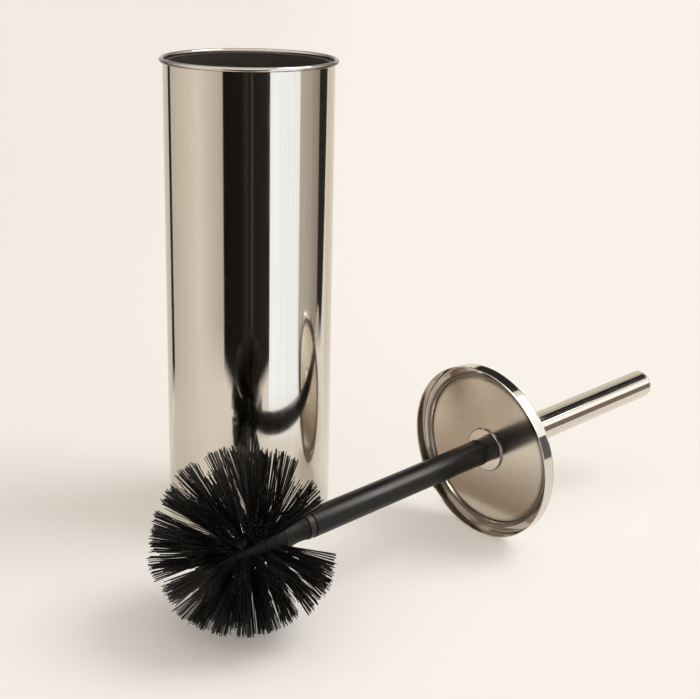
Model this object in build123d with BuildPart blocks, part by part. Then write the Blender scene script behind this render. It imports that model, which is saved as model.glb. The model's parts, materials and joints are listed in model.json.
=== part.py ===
"""Free-standing steel brush holder, with its lidded brush lying on the floor beside it.

Millimetres.  The holder stands on the origin with +Z up.  The brush lies along +X, from its
bristle head to its grip, and rests on the edge of its lid and on its bristles.
"""

import os
from math import asin, cos, pi, radians, sin, sqrt, tan

from build123d import *

# Holder: rolled-rim tube, pressed base and floor pad
HOLDER_HEIGHT = 283.0
HOLDER_RADIUS = 50.0
HOLDER_WALL = 0.7
RIM_BEAD_RADIUS = 1.35
TUBE_STAND_OFF = 1.2
BASE_THICKNESS = 0.8
BASE_FLANGE_HEIGHT = 3.5
PAD_THICKNESS = 2.4
PAD_EDGE_GAP = 0.6
PAD_EDGE_FILLET = 0.4

# Lift-out liner
LINER_GAP = 0.5
LINER_WALL = 1.3
LINER_FLOOR = 2.0
LINER_LIP_DROP = 2.4
LINER_LIP_HEIGHT = 2.2
LINER_LIP_GAP = 0.4
LINER_CORNER = 5.0

# Lid: skirted cover over the rim, and an inner plate whose ridge centres it in the mouth
LID_CLEARANCE = 0.8
LID_WALL = 0.7
LID_DEPTH = 8.0
LID_EDGE_FILLET = 1.6
INNER_PLATE_THICKNESS = 0.7
RIDGE_CLEARANCE = 0.7
RIDGE_WIDTH = 2.2
RIDGE_DEPTH = 1.6
RIDGE_SLOPE = 0.8
WASHER_RADIUS = 13.5
WASHER_THICKNESS = 1.2

# Grip above the lid
GRIP_RADIUS = 9.0
GRIP_WALL = 1.0
GRIP_END = 160.0
GRIP_CAP_LENGTH = 3.6
GRIP_CAP_FILLET = 3.0
GRIP_CAP_SPIGOT = 5.0
GRIP_PLUG_END_WALL = 6.0
GASKET_THICKNESS = 1.0
GASKET_INSET = 0.6

# Screwed joints: one stud through the lid, one stub into the head
STUD_RADIUS = 4.0
STUD_ENGAGEMENT = 13.5
STUD_ROOT = 14.0
STUB_RADIUS = 4.2
STUB_ENGAGEMENT = 13.5
THREAD_CLEARANCE = 0.15
THREAD_END_ROOM = 1.3
PASSAGE_CLEARANCE = 0.4

# Shaft below the lid
SHAFT_RADIUS = 7.7
SHAFT_BORE_RADIUS = 5.2
SHAFT_END = 131.5
SHAFT_EDGE_FILLET = 0.5
COLLAR_NECK_RADIUS = 7.5
COLLAR_NECK_LENGTH = 5.2
COLLAR_BEAD_RADIUS = 7.9
COLLAR_BEAD_LENGTH = 1.5
COLLAR_GROOVE_RADIUS = 7.3
COLLAR_GROOVE_LENGTH = 0.8
COLLAR_SPIGOT = 20.0
END_PLUG_LENGTH = 20.0

# Bristle head
BRISTLE_PRESS = 2.3
HEAD_SINK = 5.0
TIP_PRESS = 0.6
NECK_RING_LENGTH = 4.2
NECK_RING_RADIUS = 7.4
NECK_RING_FILLET = 0.6
NECK_RADIUS = 7.0
NECK_WAIST_RADIUS = 6.2
NECK_WAIST_SHARE = 0.55
NECK_END_WALL = 3.0
CORE_RADIUS = 9.0
SPINE_RADIUS = 5.0
SPINE_TIP = 3.5
NOSE_LENGTH = 8.0
NOSE_FILLET = 5.5
ROW_PITCH = 6.5
ROW_SHIFT = 2.0
ROW_TILTS = (-15.0, -4.0, 8.0, 22.0, 38.0, 58.0)
TUFT_COUNT = 10
TUFT_TURN = -44.0
STRAND_SIZE = 0.9
STRAND_ROOT = 1.5
FAN_DEPTH = 9.0
FAN_SPREAD = 10.5
FAN_TILT = 4.0
FAN_LOW_SHARES = (-1.0, -0.43, 0.14, 0.71)
FAN_HIGH_SHARES = (-0.71, -0.14, 0.43, 1.0)

# Place of the brush beside the holder
SIDE_GAP = 10.6
LID_STATION = 84.5

# Sizes that follow from those above
TUBE_BORE = HOLDER_RADIUS - HOLDER_WALL
RIM_CENTRE = TUBE_BORE + RIM_BEAD_RADIUS
RIM_RADIUS = RIM_CENTRE + RIM_BEAD_RADIUS
LID_BORE = RIM_RADIUS + LID_CLEARANCE
LID_RADIUS = LID_BORE + LID_WALL
BASE_TOP = PAD_THICKNESS + BASE_THICKNESS
LINER_RADIUS = TUBE_BORE - BASE_THICKNESS - LINER_GAP
LINER_BORE = LINER_RADIUS - LINER_WALL
LINER_TOP = HOLDER_HEIGHT - LINER_LIP_DROP
HEAD_RADIUS = LINER_BORE + BRISTLE_PRESS
STUD_PASSAGE = STUD_RADIUS + PASSAGE_CLEARANCE
STUB_PASSAGE = STUB_RADIUS + PASSAGE_CLEARANCE
STUD_SOCKET_DEPTH = STUD_ENGAGEMENT + THREAD_END_ROOM
STUB_SOCKET_DEPTH = STUB_ENGAGEMENT + THREAD_END_ROOM

# Stations along the brush, from the lid's open edge towards the grip
COVER_UNDERSIDE = LID_DEPTH - LID_WALL
PLATE_UNDERSIDE = COVER_UNDERSIDE - INNER_PLATE_THICKNESS
WASHER_UNDERSIDE = PLATE_UNDERSIDE - WASHER_THICKNESS
GRIP_START = LID_DEPTH + GASKET_THICKNESS
GRIP_SEAM = GRIP_END - GRIP_CAP_LENGTH
BEADS_TOP = WASHER_UNDERSIDE - COLLAR_NECK_LENGTH
SHAFT_START = BEADS_TOP - 2 * COLLAR_BEAD_LENGTH - COLLAR_GROOVE_LENGTH
STUD_FOOT = BEADS_TOP - STUD_ROOT
NECK_TOP = -SHAFT_END - NECK_RING_LENGTH
STUB_TIP = NECK_TOP - STUB_ENGAGEMENT
CORE_LENGTH = ROW_PITCH * len(ROW_TILTS)
CORE_TOP = NECK_TOP - STUB_SOCKET_DEPTH - NECK_END_WALL
CORE_TIP = CORE_TOP - CORE_LENGTH
HEAD_DISTANCE = CORE_LENGTH / 2 + ROW_SHIFT - CORE_TOP

# The brush tips until its lid edge and its pressed bristles both meet the floor
HEAD_HEIGHT = HEAD_RADIUS - HEAD_SINK
PITCH = 0.0
for _ in range(30):
    PITCH = asin((LID_RADIUS * cos(PITCH) - HEAD_HEIGHT) / HEAD_DISTANCE)

LID_CENTRE = Vector(LID_STATION, -(RIM_RADIUS + SIDE_GAP + LID_RADIUS), LID_RADIUS * cos(PITCH))
BRUSH_DIR = Vector(cos(PITCH), 0, sin(PITCH))
BRUSH_UP = Vector(-sin(PITCH), 0, cos(PITCH))
BRUSH_SIDE = Vector(0, 1, 0)
BRUSH_AXIS = Axis(LID_CENTRE, BRUSH_DIR)
# Local x is the radius and local y the station along the brush
BRUSH_PROFILE = Plane(origin=LID_CENTRE, x_dir=BRUSH_UP, z_dir=BRUSH_SIDE)
HEAD_CENTRE = LID_CENTRE - BRUSH_DIR * HEAD_DISTANCE
# The bristles underneath give way, so the ball of tips stands higher than the core
TIP_CENTRE = HEAD_CENTRE + Vector(0, 0, HEAD_SINK - TIP_PRESS)
FAN_SHARES = [(across, -1.0) for across in FAN_LOW_SHARES] + [(across, 1.0) for across in FAN_HIGH_SHARES]

os.makedirs("parts", exist_ok=True)


def ring_band(inner, outer, low, high):
    """Draw the section of a plain ring: radii inner to outer, stations low to high."""
    with Locations(((inner + outer) / 2, (low + high) / 2)):
        Rectangle(outer - inner, high - low)


# Holder
with BuildPart() as holder_tube:
    with BuildSketch(Plane.XZ):
        ring_band(TUBE_BORE, HOLDER_RADIUS, TUBE_STAND_OFF, HOLDER_HEIGHT - RIM_BEAD_RADIUS)
        with Locations((RIM_CENTRE, HOLDER_HEIGHT - RIM_BEAD_RADIUS)):
            Circle(RIM_BEAD_RADIUS)
    revolve(axis=Axis.Z)
holder_tube.part.label = "holder_tube"
export_step(holder_tube.part, "parts/holder_tube.step")

with BuildPart() as holder_base:
    with BuildSketch(Plane.XZ):
        ring_band(0, TUBE_BORE, PAD_THICKNESS, BASE_TOP)
        ring_band(TUBE_BORE - BASE_THICKNESS, TUBE_BORE, PAD_THICKNESS, BASE_TOP + BASE_FLANGE_HEIGHT)
    revolve(axis=Axis.Z)
holder_base.part.label = "holder_base"
export_step(holder_base.part, "parts/holder_base.step")

with BuildPart() as floor_pad:
    with BuildSketch(Plane.XY):
        Circle(TUBE_BORE - PAD_EDGE_GAP)
    extrude(amount=PAD_THICKNESS)
    fillet(floor_pad.edges().group_by(Axis.Z)[0], PAD_EDGE_FILLET)
floor_pad.part.label = "floor_pad"
export_step(floor_pad.part, "parts/floor_pad.step")

# Liner
with BuildPart() as inner_liner:
    with BuildSketch(Plane.XZ):
        with BuildLine():
            liner_inside = FilletPolyline(
                (0, BASE_TOP + LINER_FLOOR),
                (LINER_BORE, BASE_TOP + LINER_FLOOR),
                (LINER_BORE, LINER_TOP),
                radius=LINER_CORNER,
            )
            lip_edge = Polyline(
                liner_inside @ 1,
                (TUBE_BORE - LINER_LIP_GAP, LINER_TOP),
                (TUBE_BORE - LINER_LIP_GAP, LINER_TOP - LINER_LIP_HEIGHT),
                (LINER_RADIUS, LINER_TOP - LINER_LIP_HEIGHT),
            )
            liner_outside = FilletPolyline(
                lip_edge @ 1,
                (LINER_RADIUS, BASE_TOP),
                (0, BASE_TOP),
                radius=LINER_CORNER + LINER_WALL,
            )
            Line(liner_outside @ 1, liner_inside @ 0)
        make_face()
    revolve(axis=Axis.Z)
inner_liner.part.label = "inner_liner"
export_step(inner_liner.part, "parts/inner_liner.step")

# Lid
with BuildPart() as lid_cover:
    with BuildSketch(BRUSH_PROFILE):
        with BuildLine():
            skin = FilletPolyline(
                (STUD_PASSAGE, COVER_UNDERSIDE),
                (LID_BORE, COVER_UNDERSIDE),
                (LID_BORE, 0),
                (LID_RADIUS, 0),
                (LID_RADIUS, LID_DEPTH),
                (STUD_PASSAGE, LID_DEPTH),
                radius=(LID_EDGE_FILLET - LID_WALL, LID_WALL * 0.4, LID_WALL * 0.4, LID_EDGE_FILLET),
            )
            Line(skin @ 1, skin @ 0)
        make_face()
    revolve(axis=BRUSH_AXIS)
lid_cover.part.label = "lid_cover"
export_step(lid_cover.part, "parts/lid_cover.step")

RIDGE_RADIUS = TUBE_BORE - RIDGE_CLEARANCE
RIDGE_INNER = RIDGE_RADIUS - RIDGE_WIDTH
PLATE_RADIUS = RIDGE_INNER - RIDGE_SLOPE
RIDGE_LOW = PLATE_UNDERSIDE - RIDGE_DEPTH
RIDGE_ROOF = RIDGE_LOW + INNER_PLATE_THICKNESS
RIDGE_THIN = INNER_PLATE_THICKNESS * 0.7
with BuildPart() as lid_inner_plate:
    with BuildSketch(BRUSH_PROFILE):
        with BuildLine():
            Polyline(
                (STUD_PASSAGE, PLATE_UNDERSIDE),
                (PLATE_RADIUS, PLATE_UNDERSIDE),
                (RIDGE_INNER, RIDGE_LOW),
                (RIDGE_RADIUS, RIDGE_LOW),
                (RIDGE_RADIUS, COVER_UNDERSIDE),
                (RIDGE_RADIUS - RIDGE_THIN, COVER_UNDERSIDE),
                (RIDGE_RADIUS - RIDGE_THIN, RIDGE_ROOF),
                (RIDGE_INNER + RIDGE_THIN, RIDGE_ROOF),
                (PLATE_RADIUS + RIDGE_THIN, COVER_UNDERSIDE),
                (STUD_PASSAGE, COVER_UNDERSIDE),
                close=True,
            )
        make_face()
    revolve(axis=BRUSH_AXIS)
lid_inner_plate.part.label = "lid_inner_plate"
export_step(lid_inner_plate.part, "parts/lid_inner_plate.step")

with BuildPart() as lid_washer:
    with BuildSketch(BRUSH_PROFILE):
        ring_band(STUD_PASSAGE, WASHER_RADIUS, WASHER_UNDERSIDE, PLATE_UNDERSIDE)
    revolve(axis=BRUSH_AXIS)
lid_washer.part.label = "lid_washer"
export_step(lid_washer.part, "parts/lid_washer.step")

# Grip
with BuildPart() as grip_gasket:
    with BuildSketch(BRUSH_PROFILE):
        ring_band(STUD_PASSAGE, GRIP_RADIUS - GASKET_INSET, LID_DEPTH, GRIP_START)
    revolve(axis=BRUSH_AXIS)
grip_gasket.part.label = "grip_gasket"
export_step(grip_gasket.part, "parts/grip_gasket.step")

GRIP_BORE = GRIP_RADIUS - GRIP_WALL
with BuildPart() as grip_tube:
    with BuildSketch(BRUSH_PROFILE):
        ring_band(GRIP_BORE, GRIP_RADIUS, GRIP_START, GRIP_SEAM)
    revolve(axis=BRUSH_AXIS)
grip_tube.part.label = "grip_tube"
export_step(grip_tube.part, "parts/grip_tube.step")

with BuildPart() as grip_cap:
    with BuildSketch(BRUSH_PROFILE):
        with BuildLine():
            dome = FilletPolyline(
                (0, GRIP_END),
                (GRIP_RADIUS, GRIP_END),
                (GRIP_RADIUS, GRIP_SEAM),
                radius=min(GRIP_CAP_FILLET, GRIP_CAP_LENGTH * 0.9),
            )
            Polyline(
                dome @ 1,
                (GRIP_BORE, GRIP_SEAM),
                (GRIP_BORE, GRIP_SEAM - GRIP_CAP_SPIGOT),
                (0, GRIP_SEAM - GRIP_CAP_SPIGOT),
                dome @ 0,
            )
        make_face()
    revolve(axis=BRUSH_AXIS)
grip_cap.part.label = "grip_cap"
export_step(grip_cap.part, "parts/grip_cap.step")

with BuildPart() as grip_plug:
    with BuildSketch(BRUSH_PROFILE):
        ring_band(0, GRIP_BORE, GRIP_START, GRIP_START + STUD_SOCKET_DEPTH + GRIP_PLUG_END_WALL)
        with Locations((0, GRIP_START)):
            Rectangle(
                2 * (STUD_RADIUS + THREAD_CLEARANCE),
                2 * STUD_SOCKET_DEPTH,
                mode=Mode.SUBTRACT,
            )
    revolve(axis=BRUSH_AXIS)
grip_plug.part.label = "grip_plug"
export_step(grip_plug.part, "parts/grip_plug.step")

# Shaft
with BuildPart() as tie_stud:
    with BuildSketch(BRUSH_PROFILE):
        ring_band(0, STUD_RADIUS, STUD_FOOT, GRIP_START + STUD_ENGAGEMENT)
    revolve(axis=BRUSH_AXIS)
    chamfer(tie_stud.edges().filter_by(GeomType.CIRCLE), STUD_RADIUS * 0.15)
tie_stud.part.label = "tie_stud"
export_step(tie_stud.part, "parts/tie_stud.step")

GROOVE_TOP = BEADS_TOP - COLLAR_BEAD_LENGTH
GROOVE_LOW = GROOVE_TOP - COLLAR_GROOVE_LENGTH
COLLAR_FOOT = SHAFT_START - COLLAR_SPIGOT
with BuildPart() as shaft_collar:
    with BuildSketch(BRUSH_PROFILE):
        ring_band(0, COLLAR_NECK_RADIUS, BEADS_TOP, WASHER_UNDERSIDE)
        ring_band(0, COLLAR_GROOVE_RADIUS, SHAFT_START, BEADS_TOP)
        for bead_low in (GROOVE_TOP, SHAFT_START):
            with Locations((COLLAR_BEAD_RADIUS / 2, bead_low + COLLAR_BEAD_LENGTH / 2)):
                RectangleRounded(COLLAR_BEAD_RADIUS, COLLAR_BEAD_LENGTH, COLLAR_BEAD_LENGTH * 0.35)
        ring_band(0, SHAFT_BORE_RADIUS, COLLAR_FOOT, SHAFT_START)
        with Locations((0, (STUD_FOOT + WASHER_UNDERSIDE) / 2)):
            Rectangle(2 * STUD_RADIUS, WASHER_UNDERSIDE - STUD_FOOT, mode=Mode.SUBTRACT)
    revolve(axis=BRUSH_AXIS)
shaft_collar.part.label = "shaft_collar"
export_step(shaft_collar.part, "parts/shaft_collar.step")

with BuildPart() as shaft_tube:
    with BuildSketch(BRUSH_PROFILE) as shaft_section:
        ring_band(SHAFT_BORE_RADIUS, SHAFT_RADIUS, -SHAFT_END, SHAFT_START)
        fillet(shaft_section.vertices().group_by(Axis.X)[-1], SHAFT_EDGE_FILLET)
    revolve(axis=BRUSH_AXIS)
shaft_tube.part.label = "shaft_tube"
export_step(shaft_tube.part, "parts/shaft_tube.step")

with BuildPart() as shaft_end_plug:
    with BuildSketch(BRUSH_PROFILE):
        ring_band(0, SHAFT_BORE_RADIUS, -SHAFT_END, END_PLUG_LENGTH - SHAFT_END)
        ring_band(0, STUB_RADIUS, STUB_TIP, -SHAFT_END)
    revolve(axis=BRUSH_AXIS)
    chamfer(shaft_end_plug.edges().filter_by(GeomType.CIRCLE).sort_by(BRUSH_AXIS)[0], STUB_RADIUS * 0.15)
shaft_end_plug.part.label = "shaft_end_plug"
export_step(shaft_end_plug.part, "parts/shaft_end_plug.step")

# Head
with BuildPart() as neck_ring:
    with BuildSketch(BRUSH_PROFILE) as neck_ring_section:
        ring_band(STUB_PASSAGE, NECK_RING_RADIUS, NECK_TOP, -SHAFT_END)
        fillet(neck_ring_section.vertices().group_by(Axis.X)[-1], NECK_RING_FILLET)
    revolve(axis=BRUSH_AXIS)
neck_ring.part.label = "neck_ring"
export_step(neck_ring.part, "parts/neck_ring.step")

WAIST = NECK_TOP + (CORE_TOP - NECK_TOP) * NECK_WAIST_SHARE
with BuildPart() as head_core:
    with BuildSketch(BRUSH_PROFILE):
        with BuildLine():
            neck_curve = Spline(
                (NECK_RADIUS, NECK_TOP),
                (NECK_WAIST_RADIUS, WAIST),
                (CORE_RADIUS, CORE_TOP),
            )
            Polyline(
                neck_curve @ 1,
                (SPINE_RADIUS, CORE_TOP),
                (SPINE_RADIUS, CORE_TIP - SPINE_TIP),
                (0, CORE_TIP - SPINE_TIP),
                (0, NECK_TOP),
                neck_curve @ 0,
            )
        make_face()
        with Locations((0, NECK_TOP)):
            Rectangle(
                2 * (STUB_RADIUS + THREAD_CLEARANCE),
                2 * STUB_SOCKET_DEPTH,
                mode=Mode.SUBTRACT,
            )
    revolve(axis=BRUSH_AXIS)
head_core.part.label = "head_core"
export_step(head_core.part, "parts/head_core.step")

with BuildPart() as head_nose:
    with BuildSketch(BRUSH_PROFILE):
        with BuildLine():
            nose_skin = FilletPolyline(
                (CORE_RADIUS, CORE_TIP),
                (CORE_RADIUS, CORE_TIP - NOSE_LENGTH),
                (0, CORE_TIP - NOSE_LENGTH),
                radius=min(NOSE_FILLET, NOSE_LENGTH * 0.9),
            )
            Polyline(
                nose_skin @ 1,
                (0, CORE_TIP - SPINE_TIP),
                (SPINE_RADIUS, CORE_TIP - SPINE_TIP),
                (SPINE_RADIUS, CORE_TIP),
                nose_skin @ 0,
            )
        make_face()
    revolve(axis=BRUSH_AXIS)
head_nose.part.label = "head_nose"
export_step(head_nose.part, "parts/head_nose.step")

# Each bristle row is a slice of the core with its fanned tufts, trimmed to a ball
for row, tilt in enumerate(ROW_TILTS):
    slice_top = CORE_TOP - row * ROW_PITCH
    station = slice_top - ROW_PITCH / 2
    with BuildPart() as bristle_row:
        with BuildSketch(BRUSH_PROFILE):
            ring_band(SPINE_RADIUS, CORE_RADIUS, slice_top - ROW_PITCH, slice_top)
        revolve(axis=BRUSH_AXIS)
        strands = []
        for tuft in range(TUFT_COUNT):
            turn = radians(TUFT_TURN) + 2 * pi * tuft / TUFT_COUNT
            radial = BRUSH_UP * cos(turn) + BRUSH_SIDE * sin(turn)
            across = BRUSH_SIDE * cos(turn) - BRUSH_UP * sin(turn)
            lean = radial * cos(radians(tilt)) - BRUSH_DIR * sin(radians(tilt))
            along = lean.cross(across)
            apex = LID_CENTRE + BRUSH_DIR * station + radial * CORE_RADIUS - lean * FAN_DEPTH
            for fan_across, fan_along in FAN_SHARES:
                sway = across * (fan_across * tan(radians(FAN_SPREAD)))
                sway = sway + along * (fan_along * tan(radians(FAN_TILT)))
                heading = (lean + sway).normalized()
                # Distance from the apex out to the ball of tips
                inward = (TIP_CENTRE - apex).dot(heading)
                offset_squared = (TIP_CENTRE - apex).length ** 2 - inward**2
                reach = inward + sqrt(HEAD_RADIUS**2 - offset_squared)
                root = FAN_DEPTH - STRAND_ROOT
                foot = Plane(origin=apex + heading * root, x_dir=across, z_dir=heading)
                with BuildSketch(foot, mode=Mode.PRIVATE) as strand_section:
                    Rectangle(STRAND_SIZE, STRAND_SIZE)
                strands.append(extrude(strand_section.sketch, amount=reach - root, mode=Mode.PRIVATE))
        add(strands)
        split(bisect_by=Plane.XY, keep=Keep.TOP)
    bristle_row.part.label = f"bristle_row_{row + 1}"
    export_step(bristle_row.part, f"parts/bristle_row_{row + 1}.step")

print(f"lid centre {LID_CENTRE}, axis {BRUSH_DIR}, head centre {HEAD_CENTRE}")
print(f"strands {len(FAN_SHARES) * TUFT_COUNT * len(ROW_TILTS)}, head radius {HEAD_RADIUS}")
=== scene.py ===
"""Looks for a steel toilet brush holder: polished canister, liner, lid, grip, shaft and bristle head."""

import json
import math
import random
from typing import NamedTuple

import bmesh
import bpy
from bpy.props import FloatProperty, FloatVectorProperty, IntProperty, PointerProperty
from bpy.types import Operator, Panel, PropertyGroup
from mathutils import Matrix, Vector


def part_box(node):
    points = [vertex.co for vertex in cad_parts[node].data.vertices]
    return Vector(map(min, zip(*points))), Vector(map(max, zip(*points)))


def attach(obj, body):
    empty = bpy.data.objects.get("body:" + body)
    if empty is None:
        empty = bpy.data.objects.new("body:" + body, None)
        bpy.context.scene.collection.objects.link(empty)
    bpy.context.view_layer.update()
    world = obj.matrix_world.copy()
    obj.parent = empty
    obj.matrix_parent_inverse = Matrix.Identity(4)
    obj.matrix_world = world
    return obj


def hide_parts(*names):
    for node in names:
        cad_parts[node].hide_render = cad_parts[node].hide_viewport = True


bl_info = {
    "name": "Toilet Brush Holder",
    "version": (1, 0, 0),
    "blender": (4, 5, 0),
    "location": "View3D > Sidebar > Brush Holder",
    "description": "Dresses the packed brush holder with turned steel, plastic and bristles",
    "category": "Object",
}

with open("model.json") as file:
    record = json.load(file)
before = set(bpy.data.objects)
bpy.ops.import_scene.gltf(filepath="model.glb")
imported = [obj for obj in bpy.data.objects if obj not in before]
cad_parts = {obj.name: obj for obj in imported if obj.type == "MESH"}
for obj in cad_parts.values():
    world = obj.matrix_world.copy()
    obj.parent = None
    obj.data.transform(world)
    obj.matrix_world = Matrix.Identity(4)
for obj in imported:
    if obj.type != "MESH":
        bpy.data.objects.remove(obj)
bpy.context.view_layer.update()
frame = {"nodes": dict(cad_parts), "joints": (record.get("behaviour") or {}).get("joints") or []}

JOINTS = {joint["name"]: joint for joint in frame["joints"]}

# The brush axis runs from the bristles to the grip; stations count from the lid's open edge
GRIP_START = 0.009
BRUSH_DIR = Vector(JOINTS["grip_unscrew"]["axis"]).normalized()
BRUSH_SIDE = Vector((0, 1, 0))
BRUSH_UP = BRUSH_DIR.cross(BRUSH_SIDE)
LID_CENTRE = Vector(JOINTS["grip_unscrew"]["pos_m"]) - BRUSH_DIR * GRIP_START
UPRIGHT = (Vector((0, 0, 0)), Vector((0, 0, 1)), Vector((1, 0, 0)))
LYING = (LID_CENTRE, BRUSH_DIR, BRUSH_UP)

# Steps round a turned piece, by how wide the piece is
CANISTER_STEPS = 192
LID_STEPS = 144
TUBE_STEPS = 96
CORE_STEPS = 72
RIM_STEPS = 28
FILLET_STEPS = 6
FILLET_SUPPORT = 0.00025
MERGE_DISTANCE = 1e-7
SHORTEST_EDGE = 1e-8
SHARP_ANGLE = math.radians(38)


def length(label, text, default):
    """A size in metres that a user can change."""
    return FloatProperty(name=label, description=text, default=default, unit="LENGTH", precision=5)


def share(label, text, default, high=1.0):
    """A plain number that a user can change."""
    return FloatProperty(name=label, description=text, default=default, min=0.0, max=high, precision=3)


def colour(label, text, default):
    """A colour that a user can change."""
    return FloatVectorProperty(
        name=label, description=text, default=default, subtype="COLOR", min=0.0, max=1.0
    )


def bearing(label, text, degrees):
    """An angle that a user can change."""
    return FloatProperty(name=label, description=text, default=math.radians(degrees), subtype="ANGLE")


class CanisterSizes(PropertyGroup):
    """Sizes of the standing canister."""

    height: length("Height", "Floor to the top of the rolled rim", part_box("holder_tube")[1].z)
    radius: length("Radius", "Outside of the tube", 0.050)
    wall: length("Wall", "Thickness of the tube", 0.0007)
    bead: length("Bead", "Section radius of the rolled rim", 0.00135)
    foot: length("Foot", "Height of the tube's lower edge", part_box("holder_tube")[0].z)
    edge: length("Edge", "Rounding of the lower edge", 0.0003)


class LidSizes(PropertyGroup):
    """Sizes of the lid on the brush."""

    radius: length("Radius", "Outside of the skirt", 0.0535)
    wall: length("Wall", "Thickness of the cover", 0.0007)
    depth: length("Depth", "Open edge to the top face", 0.008)
    crown: length("Crown", "Rounding between top and skirt", 0.0016)
    lip: share("Lip", "Rounding of the open edge, of the wall's thickness", 0.45)
    plate: length("Plate", "Thickness of the inner plate", 0.0007)
    ridge_radius: length("Ridge radius", "Outside of the centring ridge", 0.0486)
    ridge_width: length("Ridge width", "Width of the centring ridge", 0.0022)
    ridge_depth: length("Ridge depth", "How far the ridge stands off the plate", 0.0016)
    ridge_slope: length("Ridge slope", "How far the ridge's inner side leans", 0.0008)
    ridge_bend: length("Ridge bend", "Rounding of the ridge", 0.0006)
    groove: length("Groove", "Width of the groove inside the ridge", 0.0006)
    groove_edge: length("Groove edge", "Rounding of the groove's edge", 0.00025)
    groove_depth: share("Groove depth", "Depth of the groove, of the plate's thickness", 0.7)
    # Painted shade: the plate's colour darkens over this width towards its ridge
    crease_shade: length("Crease", "Width of the darker ring beside the ridge", 0.0034)
    washer_radius: length("Washer radius", "Outside of the washer", 0.0135)
    washer: length("Washer", "Thickness of the washer", 0.0012)
    washer_edge: share("Washer edge", "Rounding of the washer, of its thickness", 0.35)
    # Painted shade: the washer's colour darkens over this width towards its edge
    washer_shade: share("Washer shade", "Width of its dark edge, of its thickness", 0.7)
    bore: length("Bore", "Hole for the stud", 0.0044)


class GripSizes(PropertyGroup):
    """Sizes of the steel grip."""

    radius: length("Radius", "Outside of the tube", 0.009)
    wall: length("Wall", "Thickness of the tube", 0.001)
    end: length("End", "Station of the closed end", 0.160)
    edge: length("Edge", "Rounding of the tube's ends", 0.00018)
    cap: length("Cap", "Length of the end cap", 0.0036)
    dome: length("Dome", "Rounding of the closed end", 0.003)
    spigot: length("Spigot", "Length of the cap inside the tube", 0.005)


class ShaftSizes(PropertyGroup):
    """Sizes of the black shaft, its collar and the head's neck."""

    radius: length("Radius", "Outside of the shaft", 0.0077)
    bore: length("Bore", "Inside of the shaft", 0.0052)
    end: length("End", "Distance of the lower end from the lid's edge", 0.1315)
    edge: length("Edge", "Rounding of the ends", 0.0005)
    collar_neck: length("Collar neck", "Radius under the washer", 0.0075)
    collar_neck_length: length("Neck length", "Length of the collar's neck", 0.0052)
    collar_edge: length("Collar edge", "Rounding of the collar's neck", 0.0004)
    bead_radius: length("Bead radius", "Outside of the collar's beads", 0.0079)
    bead_length: length("Bead length", "Length of one bead", 0.0015)
    bead_crown: share("Bead crown", "Rounding of a bead, of its length", 0.38)
    groove_radius: length("Groove radius", "Between the beads", 0.0073)
    groove_length: length("Groove length", "Gap between the beads", 0.0008)
    collar_spigot: length("Spigot", "Collar inside the shaft", 0.020)
    stud: length("Stud", "Radius of the stud", 0.004)
    ring_length: length("Ring length", "Length of the neck ring", 0.0042)
    ring_radius: length("Ring radius", "Outside of the neck ring", 0.0074)
    ring_bore: length("Ring bore", "Inside of the neck ring", 0.0046)
    ring_edge: length("Ring edge", "Rounding of the neck ring", 0.0006)


class HeadSizes(PropertyGroup):
    """Sizes of the bristle head and its fullness."""

    neck_radius: length("Neck radius", "Neck at the ring", 0.007)
    neck_edge: length("Neck edge", "Rounding of the neck at the ring", 0.0005)
    waist_radius: length("Waist radius", "Narrowest part of the neck", 0.0062)
    waist_share: share("Waist", "Where the neck is narrowest, from the ring", 0.55)
    waist_bend: length("Waist bend", "Rounding of the narrowest part", 0.03)
    neck_length: length("Neck length", "Ring to the first row", 0.0178)
    socket_radius: length("Socket radius", "Hole for the stub", 0.00435)
    socket_depth: length("Socket depth", "Depth of that hole", 0.0148)
    socket_edge: length("Socket edge", "Rounding of its mouth", 0.0003)
    core_radius: length("Core radius", "Outside of the core", 0.009)
    shoulder: length("Shoulder", "Rounding where the neck meets the rows", 0.0006)
    spine_radius: length("Spine radius", "Spine inside the rows", 0.005)
    spine_tip: length("Spine tip", "Spine past the last row", 0.0035)
    nose: length("Nose", "Length of the nose", 0.008)
    nose_dome: length("Nose dome", "Rounding of the nose", 0.0055)
    row_pitch: length("Row pitch", "Length of one row of the core", 0.0065)
    row_edge: length("Row edge", "Rounding of one row of the core", 0.0003)
    row_shift: length("Row shift", "Rows from the middle of the ball, towards the grip", 0.002)
    ball: length("Ball", "Radius that the tips are trimmed to", 0.051)
    ball_lift: length("Ball lift", "Middle of the ball of tips above the core", 0.0064)
    columns: IntProperty(name="Columns", description="Tufts round the core", default=10, min=3)
    filament: length("Filament", "Radius of one bristle", 0.00032)
    filaments: IntProperty(name="Filaments", description="Bristles in one tuft", default=36, min=8)
    hole: length("Hole", "Half width of a tuft where it leaves the core", 0.0010)
    hole_share: share("Hole share", "Depth and length of that hole, of its half width", 0.6)
    sway: share("Sway", "Bend of a bristle as a share of its length", 0.008)
    trim: share("Trim", "Unevenness of the trimmed tips in a tuft", 0.05)
    tuft_trim: share("Tuft trim", "Unevenness of the tufts' lengths", 0.04)
    stray: share("Stray", "Unevenness of the tufts' places, in degrees", 2.0, 20.0)
    seed: IntProperty(name="Seed", description="Seed of the bristles' unevenness", default=5)


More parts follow.
